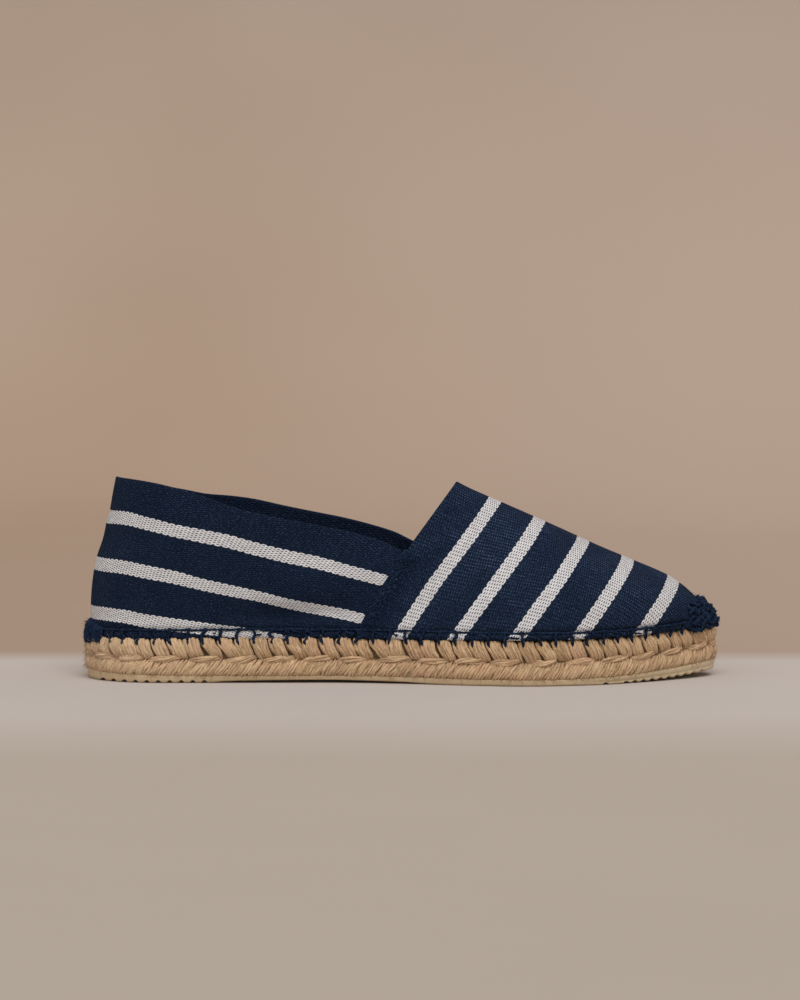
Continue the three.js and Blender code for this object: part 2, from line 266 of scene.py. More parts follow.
def make(name, slot, verts, faces, uv=None, tone=None, replaces=None, weld=True):
    """One piece from points in millimetres, each with its uv and tone."""
    me = bpy.data.meshes.new(name)
    co = (np.asarray(verts, float) + SHIFT) * MM
    faces = faces if isinstance(faces, list) else [faces]
    loops = np.concatenate([f.ravel() for f in faces])
    sizes = np.concatenate([np.full(len(f), f.shape[1]) for f in faces])
    me.vertices.add(len(co))
    me.vertices.foreach_set("co", co.ravel())
    me.loops.add(len(loops))
    me.loops.foreach_set("vertex_index", loops.astype(np.int32))
    me.polygons.add(len(sizes))
    me.polygons.foreach_set("loop_start", np.concatenate([[0], np.cumsum(sizes)[:-1]]).astype(np.int32))
    me.polygons.foreach_set("use_smooth", np.full(len(sizes), True))
    if uv is not None:
        layer = me.uv_layers.new(name="cloth")
        layer.uv.foreach_set("vector", np.asarray(uv, np.float32)[loops].ravel())
    if tone is not None:
        me.attributes.new("tone", "FLOAT", "POINT").data.foreach_set("value", np.asarray(tone, np.float32))
    me.update(calc_edges=True)
    me.validate()
    ob = add(name, me)
    if weld:
        bm = bmesh.new()
        bm.from_mesh(me)
        bmesh.ops.remove_doubles(bm, verts=bm.verts, dist=2e-6)
        bmesh.ops.recalc_face_normals(bm, faces=bm.faces)
        bm.to_mesh(me)
        bm.free()
    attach(ob, "root")
    if replaces:
        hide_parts(replaces)
    me.materials.clear()
    me.materials.append(MATS[slot])


def sheet(outer, inner, uv, round_edge, folded=False):
    """A closed sheet between two grids of points. round_edge names the one edge whose rim is rounded."""
    rows, cols = outer.shape[:2]
    n = rows * cols
    f = [grid_faces(rows, cols, flip=True), grid_faces(rows, cols) + n]
    idx = np.arange(n).reshape(rows, cols)
    lines = {"first row": (idx[0], idx[1], False), "first col": (idx[:, 0], idx[:, 1], True),
             "last col": (idx[:, -1], idx[:, -2], False), "last row": (idx[-1], idx[-2], True)}
    if folded:
        del lines["last row"]
    pts = [outer.reshape(-1, 3), inner.reshape(-1, 3)]
    uvs = [uv.reshape(-1, 2)] * 2
    total = 2 * n
    for name, (line, behind, flip) in lines.items():
        chain = [line]
        if name == round_edge:
            beyond = unit(pts[0][line] - pts[0][behind])
            for t in (0.2, 0.5, 0.8):
                bulge = beyond * 0.42 * math.sin(math.pi * t) ** 0.7
                pts.append(pts[0][line] * (1 - t) + pts[1][line] * t + bulge)
                uvs.append(uvs[0][line] + t * 0.5 * CLOTH * unit(uvs[0][line] - uvs[0][behind]))
                chain.append(np.arange(len(line)) + total)
                total += len(line)
        chain.append(line + n)
        for a, b in zip(chain[:-1], chain[1:]):
            q = np.stack([a[:-1], a[1:], b[1:], b[:-1]], 1)
            f.append(q[:, ::-1] if flip else q)
    return np.concatenate(pts), np.concatenate(f), np.concatenate(uvs)


def spline(ctrl, count):
    """Points evenly spread in parameter along a smooth curve through the control points."""
    c = np.asarray(ctrl, float)
    c = np.concatenate([2 * c[:1] - c[1:2], c, 2 * c[-1:] - c[-2:-1]])
    t = np.linspace(0, len(c) - 3, count)
    i = np.minimum(t.astype(int), len(c) - 4)
    f = (t - i)[:, None]
    a, b, d, e = c[i], c[i + 1], c[i + 2], c[i + 3]
    return 0.5 * (2 * b + (d - a) * f + (2 * a - 5 * b + 4 * d - e) * f**2 + (3 * b - a - 3 * d + e) * f**3)


def stretched(values, count):
    """The values spread evenly over count points."""
    values = np.ravel(values)
    return np.interp(np.linspace(0, 1, count), np.linspace(0, 1, len(values)), values)


class Strands:
    """Many swept strands gathered into one mesh."""

    def __init__(self):
        self.v, self.q, self.caps, self.uv, self.tone, self.n = [], [], {}, [], [], 0

    def add(self, path, wide, deep, up, sides, tone, grooves=0, depth=0.0, twist=0.0, phase=0.0, swell=0):
        path = np.asarray(path, float)
        m = len(path)
        t = unit(np.gradient(path, axis=0))
        side = unit(np.cross(t, np.broadcast_to(up, path.shape)))
        top = np.cross(side, t)
        run = run_of(path)
        th = np.linspace(0, math.tau, sides, endpoint=False)
        r = 1 + depth * np.cos(grooves * th[None] + (twist * run[:, None]) + phase) + swell
        wide, deep = np.broadcast_to(wide, m), np.broadcast_to(deep, m)
        ring = (path[:, None] + side[:, None] * (wide[:, None] * np.cos(th) * r)[..., None]
                + top[:, None] * (deep[:, None] * np.sin(th) * r)[..., None])
        self.v.append(ring.reshape(-1, 3))
        self.q.append(grid_faces(m, sides, True, flip=True) + self.n)
        first = np.arange(sides) + self.n
        self.caps.setdefault(sides, []).extend([first, (first + (m - 1) * sides)[::-1]])
        off = uniform(0, 500)
        across = th[None] * float(np.max(wide)) + off
        self.uv.append(np.stack(np.broadcast_arrays(across, run[:, None] + off), -1).reshape(-1, 2))
        self.tone.append(np.full(m * sides, tone))
        self.n += m * sides

    def piece(self, name, slot, replaces=None):
        faces = [np.concatenate(self.q)] + [np.array(c) for c in self.caps.values()]
        make(name, slot, np.concatenate(self.v), faces, np.concatenate(self.uv), np.concatenate(self.tone),
             replaces, weld=False)


def yarn(strands, path, radius, count, *, tone, up, sides=10, lay=2.2):
    """A spun yarn: its two plies show as a rope-like twist, and its ends are thin."""
    w = stretched(radius, count)
    w[[0, -1]] *= 0.45
    w = w * (1 + 0.07 * np.sin(np.arange(count) * 1.7 + uniform(0, 6)))
    strands.add(spline(path, count), w, w, up, sides=sides, grooves=2, depth=0.17,
                twist=math.tau / (lay * float(np.max(w)) * 2), phase=uniform(0, 6), tone=tone)


def hairs(strands, roots, directions, length, radius, droop, curl, tone):
    """Fine loose fibres that leave a surface and curl away."""
    t = np.linspace(0, 1, 5)[:, None]
    for root, way in zip(roots, directions):
        n = uniform(*length)
        bend = normal(0, curl, 3)
        path = root + n * (way * t + bend * t * t * 0.6 + np.array([0, 0, -droop]) * t * t)
        path[:, 2] = np.maximum(path[:, 2], 0.2)
        r = uniform(*radius)
        taper = np.linspace(r, r * 0.35, len(t))
        strands.add(path, taper, taper, np.array([0.31, 0.2, 0.93]), sides=3, tone=uniform(*tone))


# ---- canvas
def over_hem(grid):
    """Height of each point above the canvas's lower edge."""
    return grid[..., 2] - level_of("jute", grid[..., 0]) - GAP


def shaped(grid, n, h, soft):
    """The cloth off its even surface: by soft, and near the hem, where it puffs between stitches."""
    flat, rise = grid.reshape(-1, 3), h.ravel()
    d = np.zeros(len(rise))
    near = rise < 9
    gap = leg_gap(rim_place(flat[near][:, :2]))
    line = read(HEMS, "line", flat[near][:, 0] / LENGTH)
    rise = rise[near]
    puff = np.sin(np.pi * np.clip(rise / line, 0, 1)) ** 0.7 * (0.95 - 1.15 * np.exp(-((gap / 0.95) ** 2)))
    dip = -0.45 * bump(rise, line, 0.75)
    above = 0.35 * bump(rise, line + 2.3, 1.5) * (1 - 0.5 * bump(gap, 0, 1.6))
    d[near] = puff + dip + above
    return grid + n * (d.reshape(h.shape) + soft)[..., None]


def normals_of(grid):
    return unit(np.cross(np.gradient(grid, axis=1), np.gradient(grid, axis=0)))


def outward(n, away):
    """The normals turned so that none points against away."""
    return n * np.where((n * away).sum(-1, keepdims=True) < 0, -1, 1)


def build_vamp(rows=186, cols=204):
    """Rows run from throat to tip, columns from the outer hem over the foot to the inner one."""
    share = np.linspace(0, 1, rows)[:, None]
    s0 = THROAT + (1 - THROAT) * (1 - (1 - share) ** 1.15)
    ang = np.pi * np.linspace(0, 1, cols)[None]
    lift = np.sin(ang) ** (2 / read(WALL, "fullness", s0))
    lift = np.where((ang < 1e-9) | (ang > np.pi - 1e-9), 0, np.clip(lift, 0, 1))
    near = np.maximum(0, 1 - lift / 0.5) ** 2
    inner_side = (ang > np.pi / 2) * 2.8 * np.maximum(1 - lift, 0) ** 0.6
    s = np.minimum(s0 + (CURL * near + inner_side) / LENGTH * (1 - share) ** 6, 1)

    def face(out):
        return np.where((ang < np.pi / 2)[..., None], wall(-1, s, lift, out), wall(1, s, lift, out))

    outer = face(PROUD)
    n = normals_of(outer)
    n[-3:] = n[-4:-3]
    n = outward(n, outer - np.array([150, 0, 10]))
    h = over_hem(outer)
    x, y, z = np.moveaxis(outer, -1, 0)
    # Soft hollows and swells of the loose canvas, none at the tip.
    soft = 0.35 * ripple(x, y + z * 0.7, 46, 3) * ease(h, 6, 16)
    soft = soft - 0.5 * bump(s0, 0.47, 0.05) * bump(h, 12, 9)
    outer = shaped(outer, n, h, soft * np.clip((1 - s) / 0.05, 0, 1))
    inner = outer - n * CLOTH
    inner[-6:] = face(PROUD - CLOTH)[-6:]
    # Threads run over the foot; stripes lie along them.
    run = run_of(outer, 1)
    run = run - run[:, cols // 2][:, None]
    shift = (0.1 + 0.017 * np.clip(h, 0, 40)) * ease(s0, THROAT + 0.01, THROAT + 0.045)
    uv = np.stack([run * 0.9, read(STRIPES, "along", s0) - shift], -1)
    return (*sheet(outer, inner, uv, "first row", folded=True), outer, n)


def collar_share(side, s):
    """The share of the wall's height at which the collar cuts it, by halving."""
    low, high = np.zeros_like(s), np.full_like(s, 0.98)
    for _ in range(36):
        mid = (low + high) / 2
        p = wall(side, s, mid)
        under = p[..., 2] < read(COLLAR, "outer" if side < 0 else "inner", p[..., 0] / LENGTH)
        low, high = np.where(under, mid, low), np.where(under, high, mid)
    return low


def build_quarter(cols=320, rows=76):
    """Columns run from the outer side round the heel to the inner one, rows from hem to collar."""
    front = THROAT + 10 / LENGTH
    t = np.linspace(-1, 1, cols)
    s = front * (1 - np.cos(np.pi / 2 * np.abs(t)))
    grid = np.empty((cols, rows, 3))
    for side, part in ((-1, t < 0), (1, t >= 0)):
        top = collar_share(side, s[part])
        k = np.linspace(0, 1, rows)[None] ** 1.08
        grid[part] = wall(side, s[part][:, None], top[:, None] * k)
    x, y, z = np.moveaxis(grid, -1, 0)
    n = outward(normals_of(grid), grid - np.stack([np.clip(x, 30, 120), 0 * x, z], -1))
    h = over_hem(grid)
    st = s[:, None] + 0 * h
    low = bump(st, 0.31, 0.075)
    # The canvas sinks in over the waist just above the hem and swells out over that hollow.
    soft = -2.6 * low * bump(h, 9.5, 5.0) + 1.3 * low * bump(h, 23, 9)
    soft = soft + 0.9 * bump(st, 0.05, 0.05) * bump(h, 34, 9) * 0.4
    soft = soft - 0.7 * bump(st, 0.0, 0.05) * bump(h, 41, 6)
    soft = soft + 0.45 * ripple(x + y * 0.6, z, 58, 5) * ease(h, 5, 14)
    soft = soft + 0.7 * np.sin(st * 34 + 1.0) * ease(h, 30, 60) * bump(st, 0.16, 0.12)
    outer = shaped(grid, n, h, soft)
    # Stripes follow the tables of their upper edges, and the first starts 13 mm below the collar.
    top = grid[:, -1:, 2]
    one, two, three = (read(BANDS, k, x) for k in ("one", "two", "three"))
    v = np.where(z > one, (one - z) / np.maximum((top - one) / 13.0, 0.5),
                 np.where(z > two, REPEAT * (one - z) / (one - two),
                          REPEAT + REPEAT * (two - z) / (two - three)))
    along = run_of(outer[:, rows // 2])
    slope = -0.24 * np.tanh((along - along[cols // 2]) / 28)
    u = along[:, None] - (top - z) * slope[:, None]
    return (*sheet(outer, outer - n * CLOTH, np.stack([u, v], -1), "last col"), outer, n)


# ---- material helpers
class Sock:
    """A shader value that plain arithmetic turns into Math nodes."""

    def __init__(self, tree, out):
        self.tree, self.out = tree, out

    def math(self, operation, *others):
        n = self.tree.nodes.new("ShaderNodeMath")
        n.operation = operation
        for i, o in enumerate((self, *others)):
            if isinstance(o, Sock):
                self.tree.links.new(o.out, n.inputs[i])
            else:
                n.inputs[i].default_value = o
        return Sock(self.tree, n.outputs[0])

    def flip(self):
        return self * -1 + 1

    def ramp(self, low, high, to_high=1.0, to_low=0.0):
        n = self.tree.nodes.new("ShaderNodeMapRange")
        n.clamp = True
        self.tree.links.new(self.out, n.inputs[0])
        for i, v in enumerate((low, high, to_low, to_high)):
            n.inputs[i + 1].default_value = v
        return Sock(self.tree, n.outputs[0])


OPERATIONS = {"__add__": "ADD", "__sub__": "SUBTRACT", "__mul__": "MULTIPLY", "__truediv__": "DIVIDE",
              "floor": "FLOOR", "fract": "FRACT", "max": "MAXIMUM", "pow": "POWER", "mod": "FLOORED_MODULO",
              "less": "LESS_THAN", "more": "GREATER_THAN", "sin": "SINE", "abs": "ABSOLUTE"}
for _name, _operation in OPERATIONS.items():
    setattr(Sock, _name, lambda self, *others, kind=_operation: self.math(kind, *others))


class Material:
    def __init__(self, name):
        self.mat = bpy.data.materials.new(name)
        self.mat.use_nodes = True
        self.tree = self.mat.node_tree
        self.bsdf = self.tree.nodes["Principled BSDF"]

    def node(self, kind, **settings):
        n = self.tree.nodes.new(kind)
        for k, v in settings.items():
            setattr(n, k, v)
        return n

    def link(self, a, b):
        self.tree.links.new(a.out if isinstance(a, Sock) else a, b)

    def fill(self, node, values):
        """Link or set a node's inputs. A colour may come without its alpha."""
        for name, value in values.items():
            socket = node.inputs[name]
            if isinstance(value, (Sock, bpy.types.NodeSocket)):
                self.link(value, socket)
            elif socket.type == "RGBA":
                socket.default_value = (*value, 1)
            else:
                socket.default_value = value

    def parts(self, vector):
        """The x, y and z of a vector."""
        n = self.node("ShaderNodeSeparateXYZ")
        self.fill(n, {0: vector})
        return [Sock(self.tree, out) for out in n.outputs]

    def cloth(self):
        """Place along and across the threads or fibres, in millimetres."""
        return self.node("ShaderNodeUVMap", uv_map="cloth").outputs[0]

    def place(self):
        return self.node("ShaderNodeTexCoord").outputs["Object"]

    def tone(self):
        return Sock(self.tree, self.node("ShaderNodeAttribute", attribute_name="tone").outputs["Fac"])

    def noise(self, vector, scale, stretch=None, detail=3.0, rough=0.55):
        if stretch:
            m = self.node("ShaderNodeMapping")
            self.fill(m, {"Vector": vector, "Scale": stretch})
            vector = m.outputs[0]
        n = self.node("ShaderNodeTexNoise")
        self.fill(n, {"Vector": vector, "Scale": scale, "Detail": detail, "Roughness": rough})
        return Sock(self.tree, n.outputs[0])

    def mix(self, fac, a, b):
        n = self.node("ShaderNodeMix", data_type="RGBA")
        self.fill(n, {0: fac, 6: a, 7: b})
        return n.outputs[2]

    def tint(self, color, *layers):
        """Lay one colour after another over the first, each where its value says."""
        for fac, over in layers:
            color = self.mix(fac, color, over)
        return color

    def bumped(self, height, distance, strength=1.0):
        n = self.node("ShaderNodeBump")
        self.fill(n, {"Distance": distance, "Strength": strength, "Height": height})
        self.link(n.outputs[0], self.bsdf.inputs["Normal"])

    def finish(self, color, rough, sheen=0.0, sheen_tint=(1, 1, 1), sheen_rough=0.5, spec=0.25):
        self.fill(self.bsdf, {
            "Base Color": color, "Roughness": rough, "Specular IOR Level": spec,
            "Sheen Weight": sheen, "Sheen Roughness": sheen_rough, "Sheen Tint": sheen_tint})
        return self.mat


def canvas_material():
    """Warp-faced plain weave: short floats in columns a pick apart, every other one out of step."""
    m = Material("striped_canvas")
    vec = m.cloth()
    u0, v0, _ = m.parts(vec)
    slow = m.noise(vec, 0.05, detail=2.0)
    quick = m.noise(vec, 0.35, detail=2.0)
    tiny = m.noise(vec, 0.9, detail=1.0)
    u = u0 + (quick - 0.5) * 0.55
    # Whole repeats are added, so that no thread has a negative number.
    v = v0 + (slow - 0.5) * 0.9 + (tiny - 0.5) * 0.22 + 48 * REPEAT
    heights, whites, ids = [], [], []
    for shift, odd in ((0.0, 1.0), (0.5, 0.0)):
        x = u / (2 * PICK) + shift
        y = v / (2 * THREAD) + shift
        dx = (x.fract() - 0.5) * (2 * PICK / 1.17)
        dy = (y.fract() - 0.5) * (2 * THREAD / 0.345)
        body = (dx * dx) * (dx * dx) * 0.9 + dx * dx * 0.1 + dy * dy
        heights.append((body.flip()).max(0.0).pow(0.5))
        thread = (y + dx * dx * 0.13).floor() * 2 + odd
        whites.append(thread.mod(REPEAT_THREADS).less(WHITE_THREADS - 0.5))
        ids.append(x.floor() * 0.37 + (y.floor() * 2 + odd) * 0.71)
    over = heights[0].more(heights[1])
    height = heights[0].max(heights[1])
    white = over * whites[0] + over.flip() * whites[1]
    name = over * ids[0] + over.flip() * ids[1]
    grain = m.node("ShaderNodeTexWhiteNoise", noise_dimensions="1D")
    m.fill(grain, {"W": name})
    grain = Sock(m.tree, grain.outputs["Value"])
    fluff = m.noise(vec, 1.25, rough=0.75)
    strand = m.noise(vec, 1.0, (0.7, 5.5, 1.0), detail=2.0)
    patch = m.noise(vec, 0.045, detail=2.0)
    cloud = m.noise(m.place(), 26.0)
    pick = m.noise(vec, 1.0, (0.68, 0.16, 1.0), detail=2.0)
    line = (u * (math.pi / PICK)).sin().abs().flip()
    rib = line * pick.ramp(0.3, 0.7, 1.0, 0.3) * patch.ramp(0.38, 0.6, 1.0, 0.55) * m.tone()
    # Where the floats dip into the gaps between them, the colour turns near black: painted shade, with the
    # weft partly showing.
    pore_weft_and_shade = height.ramp(0.32, 0.62, 0.0, 1.0)
    speck = m.noise(vec, 1.0, (1.1, 2.6, 1.0), detail=1.0)
    navy = m.tint(
        (0.0058, 0.0115, 0.0265),
        (rib.ramp(0.1, 0.55), (0.066, 0.103, 0.195)),
        (speck.ramp(0.46, 0.34, 0.8), (0.0045, 0.0085, 0.02)),
        (grain * 0.5, (0.0105, 0.0195, 0.043)),
        (cloud.ramp(0.35, 0.7, 0.45), (0.0075, 0.013, 0.027)),
        (fluff.ramp(0.53, 0.7, 0.9), (0.046, 0.074, 0.142)))
    cream = m.tint(
        (0.6, 0.585, 0.587),
        (grain, (0.775, 0.76, 0.765)),
        (strand.ramp(0.35, 0.75, 0.35), (0.5, 0.48, 0.465)))
    # The gap colours are darker than either thread: painted shade, with some weft.
    deep = m.mix(white, (0.0022, 0.0045, 0.012), (0.02, 0.014, 0.015))
    color = m.mix(pore_weft_and_shade, m.mix(white, navy, cream), deep)
    m.bumped(height + rib * 0.5 + strand * 0.2 + fluff * 0.25, 0.0002)
    return m.finish(color, 0.95, spec=0.05)


def yarn_material():
    m = Material("navy_yarn")
    strand = m.noise(m.cloth(), 1.0, (1.7, 0.6, 1.0), rough=0.7)
    tone = m.tone()
    color = m.tint(
        (0.0042, 0.01, 0.026),
        (tone, (0.0105, 0.022, 0.052)),
        (tone.ramp(1.0, 2.2), (0.06, 0.1, 0.19)),
        (strand.ramp(0.48, 0.66, 0.8), (0.029, 0.054, 0.108)),
        (strand.ramp(0.48, 0.34, 0.85), (0.0018, 0.004, 0.01)))
    m.bumped(strand, 0.0006)
    return m.finish(color, 0.95, sheen=0.03, sheen_tint=(0.55, 0.7, 1.0), sheen_rough=0.45, spec=0.06)


def jute_material():
    m = Material("jute_fibre")
    vec, at = m.cloth(), m.place()
    broad = m.noise(vec, 1.0, (2.1, 0.15, 1.0), rough=0.6)
    fibre = m.noise(vec, 1.0, (4.4, 0.4, 1.0), rough=0.65)
    blot = m.noise(at, 90.0)
    ruddy = m.noise(at, 150.0, detail=2.0)
    tone = m.tone()
    color = m.tint(
        (0.52, 0.315, 0.16),
        (tone, (0.76, 0.505, 0.29)),
        (broad.ramp(0.5, 0.63, 0.8), (0.88, 0.655, 0.42)),
        (broad.ramp(0.46, 0.35, 0.85), (0.185, 0.108, 0.054)),
        (fibre.ramp(0.55, 0.72, 0.6), (0.88, 0.67, 0.43)),
        (fibre.ramp(0.43, 0.3, 0.7), (0.17, 0.095, 0.045)),
        (blot.ramp(0.5, 0.75, 0.35), (0.4, 0.26, 0.14)),
        (ruddy.ramp(0.52, 0.66, 0.45), (0.68, 0.41, 0.265)),
        (m.parts(at)[0].ramp(-0.128, -0.04, 0.0, 0.36), (0.88, 0.665, 0.435)),
        # A tone below zero, as on the core under the strands, turns the jute near black: painted shade in the
        # gaps between the lobes.
        (tone.ramp(-0.9, -0.1, 0.0, 0.75), (0.07, 0.04, 0.02)))
    m.bumped(broad * 1.2 + fibre * 0.6, 0.0007)
    return m.finish(color, 0.88, sheen=0.05, sheen_tint=(1.0, 0.86, 0.62), sheen_rough=0.4, spec=0.15)


def rubber_material():
    m = Material("cream_rubber")
    at = m.place()
    mottle = m.noise(at, 160.0, detail=4.0, rough=0.65)
    cloud = m.noise(at, 22.0)
    fine = m.noise(at, 1400.0, detail=2.0)
    color = m.tint(
        (0.485, 0.35, 0.2),
        (cloud.ramp(0.3, 0.7), (0.585, 0.44, 0.27)),
        (mottle.ramp(0.55, 0.75, 0.4), (0.42, 0.29, 0.165)),
        (m.parts(at)[0].ramp(0.065, 0.125, 0.6), (0.66, 0.54, 0.37)))
    m.bumped(mottle * 0.6 + fine * 0.4, 0.00018, 0.8)
    return m.finish(color, mottle.ramp(0.3, 0.7, 0.68, 0.5))


def insole_material():
    m = Material("insole_cotton")
    at = m.place()
    wave = m.node("ShaderNodeTexWave", wave_type="BANDS", bands_direction="DIAGONAL")
    m.fill(wave, {"Vector": at, "Scale": 420.0})
    wave = Sock(m.tree, wave.outputs["Fac"])
    color = m.tint(
        (0.46, 0.35, 0.225),
        (wave, (0.6, 0.48, 0.33)),
        (m.noise(at, 60.0).ramp(0.4, 0.7, 0.4), (0.4, 0.3, 0.19)))
    m.bumped(wave, 0.0002)
    return m.finish(color, 0.92)


MATS = {"canvas": canvas_material(), "yarn": yarn_material(), "jute": jute_material(),
        "rubber": rubber_material(), "insole_cloth": insole_material()}

# ---- upper
v, f, uv, VAMP, VAMP_N = build_vamp()
# The ribs of the weave show least in a band along the throat's edge.
ribs = 0.8 + 0.25 * ease(v[:, 2], 25, 60) + 0.2 * ease(v[:, 0], 190, 240)
behind = np.full(len(v), 99.0)
behind[:VAMP[..., 0].size] = run_of(VAMP).ravel()
ribs *= 0.2 + 0.8 * np.maximum(ease(behind, 5, 15), ease(v[:, 2], 48, 56))
make("vamp_canvas", "canvas", v, f, uv, ribs, "upper")
v, f, uv, QUARTER, QUARTER_N = build_quarter()
make("quarter_canvas", "canvas", v, f, uv, 0.42 + 0.2 * (1 - ease(v[:, 0], 8, 40)), "upper")


# ---- sewing yarn along the hem
def steps(axes, *rows):
    """Moves, each row saying how far along each axis."""
    return np.array(rows) @ np.array(axes)


def hem_curve(rise, share_of_line=0.0):
    """The line on the canvas at a height above the jute, from the heel round the outer side and back."""
    half = []
    for side in (-1, 1):
        s = np.concatenate([(1 - np.cos(np.linspace(0, np.pi / 2, 90))) * 0.44, np.linspace(0.4405, 1, 420)])
        out = np.where(s < 0.43, 0.0, PROUD)
        up = rise + share_of_line * read(HEMS, "line", s)
        keep = crown(s, out) > up * 1.001
        s, out, up = s[keep], out[keep], up[keep]
        half.append(wall(side, s, np.clip(up / crown(s, out), 0, 1), out))
    return np.concatenate([half[0], half[1][::-1][:-1]])


def on_line(line, xy):
    """The points of a line nearest to each xy."""
    d = ((line[None, :, :2] - xy[:, None]) ** 2).sum(-1)
    return line[d.argmin(1)]


def beside(a):
    """The sole's edge at distance a along it: point at the jute's top, outward, along."""
    p, n = rim(a)
    zero = np.zeros((len(p), 1))
    return (np.concatenate([p, lobe_top(p[:, 0])[:, None]], 1), np.concatenate([n, zero], 1),
            np.stack([-n[:, 1], n[:, 0], zero[:, 0]], 1))


LEG_AT = (np.arange(LOBES) + LEG_PHASE) * PITCH
AT_HEEL = np.minimum(LEG_AT, GIRTH - LEG_AT) < 15
B, N3, T3 = beside(LEG_AT)
UPPER_LINE = hem_curve(0.0, 1.0)
LINE, MID, LOW = (on_line(c, B[:, :2]) for c in (UPPER_LINE, hem_curve(0.0, 0.5), hem_curve(0.3)))


def sew_hem():
    """A stitch over the jute at each lobe, a thread between them, and short strands under it."""
    threads = Strands()
    for i in np.flatnonzero(~AT_HEEL):
        j = normal(0, 0.32, 6)
        thick = uniform(0.42, 0.62)
        dip = 3.9 + uniform(-0.9, 0.9)
        n, t = N3[i], T3[i]
        path = [LINE[i], LINE[i], MID[i], LOW[i], B[i], B[i], B[i]] + steps(
            (n, t, Z), (0.1, j[0] + 0.2, 0.45), (0.6, j[0] + 0.2, 0), (0.55, j[1], 0), (0.75, j[2], 0.3),
            (-0.9, j[3] + 0.1, -0.9), (-1.35, j[4] * 0.6 + 0.55, -dip * 0.6), (-2.9, j[5] * 0.6 + 1.1, -dip))
        yarn(threads, path, [thick, thick * 1.05, thick * 1.1, 0.7, 0.6, 0.42, 0.2], 24,
             tone=uniform(0.1, 0.7), up=n, lay=1.7)
    for i in range(LOBES):
        k = (i + 1) % LOBES
        if AT_HEEL[i] and AT_HEEL[k]:
            continue
        a, b = LINE[i], LINE[k]
        mid = on_line(UPPER_LINE, (B[i:i + 1, :2] + B[k:k + 1, :2]) / 2)[0]
        path = [a + N3[i] * 0.2 + Z * 0.2 - unit(b - a) * 0.9, a + N3[i] * 0.72 + Z * 0.12,
                mid + (N3[i] + N3[k]) * 0.2 + Z * uniform(-0.25, 0.1), b + N3[k] * 0.45,
                b + N3[k] * 0.1 - Z * 0.2 + unit(b - a) * 0.8]
        yarn(threads, path, 0.44 + uniform(-0.06, 0.06), 22, tone=uniform(0.2, 0.8), up=N3[i])
        for _ in range(rng.integers(0, 3)):
            p, q = np.sort(uniform(-0.15, 1.15, 2))
            ha, hb = uniform(0.1, 0.95, 2)
            spot = lambda w, h: (a * (1 - w) + b * w) * h + (LOW[i] * (1 - w) + LOW[k] * w) * (1 - h)
            path = [spot(p, ha) - N3[i] * 0.4, spot(p + 0.08, ha) + N3[i] * 0.75,
                    spot((p + q) / 2, (ha + hb) / 2) + N3[i] * 0.95,
                    spot(q - 0.08, hb) + N3[i] * 0.75, spot(q, hb) - N3[i] * 0.4]
            yarn(threads, path, uniform(0.28, 0.46), 14, tone=uniform(0.0, 0.8), up=N3[i], sides=8)
    threads.piece("hem_stitch_yarn", "yarn")


def wind_heel():
    """Close overcast stitches round the back of the heel, dying away to either side."""
    wraps = Strands()
    for a in np.arange(-HEEL_WRAP, HEEL_WRAP + 0.1, 1.22):
        a = a + normal(0, 0.18)
        (b,), (n,), (t,) = beside(np.array([a]))
        fade = 1 - ease(abs(a), 9, HEEL_WRAP)
        high = (4.3 + 2.3 * fade) + uniform(-0.5, 0.4)
        low = 1.0 + 2.0 * fade + uniform(-0.5, 0.9)
        swell = 0.9 * fade - 0.2
        path = b + steps((n, t, Z), (-4, -1.4, high + 0.4), (-2.4, -1.2, high),
                         (swell - 1.7, -0.7, high * 0.66), (swell - 1.1, 0, high * 0.2),
                         (swell * 0.9 - 1, 0.3, -low * 0.45), (-2.6, 0.8, -low))
        yarn(wraps, path, [0.6, 0.85, 0.95, 0.9, 0.75, 0.4], 28, tone=uniform(0.1, 0.8), up=n, sides=12,
             lay=1.8)
    wraps.piece("heel_overcast_yarn", "yarn")


# ---- knotted yarn over the toe
TOE = (240, 4.5)  # the middle of the toe in plan, which the knots face away from


def nose(x0, height):
    """The vamp's outline beyond x0 at a height above the jute, as points with outward directions."""
    c = hem_curve(height)
    c = c[c[:, 0] > x0]
    c = c[np.argsort(np.arctan2(c[:, 1] - TOE[1], c[:, 0] - 238))]
    n = unit(np.stack([c[:, 0] - TOE[0], c[:, 1] - TOE[1], np.full(len(c), height * 1.5)], -1))
    return c, n, run_of(c)


def knot_toe():
    """Five rows of loops of yarn, no two alike. Returns their points, for the lint on them."""
    knots = Strands()
    for row, height in enumerate((0.4, 2.9, 5.3, 7.6, 9.7)):
        c, n, run = nose(251.0 if row < 4 else 253.0, height)
        for at in np.arange(1.2 + (row % 2) * 1.7, run[-1] - 0.4, 3.4):
            at = at + normal(0, 0.7)
            p = np.array([np.interp(at, run, c[:, k]) for k in range(3)])
            out = unit(np.array([np.interp(at, run, n[:, k]) for k in range(3)]))
            p[2] += normal(0, 0.5) * (row > 0)
            e1 = unit(np.cross(Z, out))
            e2 = np.cross(out, e1)
            turn = uniform(-0.9, 0.9)
            w, tall = uniform(1.5, 2.5), uniform(1.1, 1.8)
            start = uniform(0, 6)
            loop = []
            for q in np.linspace(0, math.tau * 0.9, 9):
                x, y = w * math.cos(q + start), tall * math.sin(q + start)
                x, y = x * math.cos(turn) - y * math.sin(turn), x * math.sin(turn) + y * math.cos(turn)
                loop.append(p + e1 * x + e2 * y + out * (0.95 + 1.0 * math.sin(1.5 * q + start * 2)))
            yarn(knots, loop, 0.86 + uniform(-0.1, 0.14), 34, tone=uniform(0.1, 1.0), up=out, lay=1.5)
    knots.piece("toe_guard_yarn", "yarn", "toe_guard")
    return np.concatenate(knots.v)


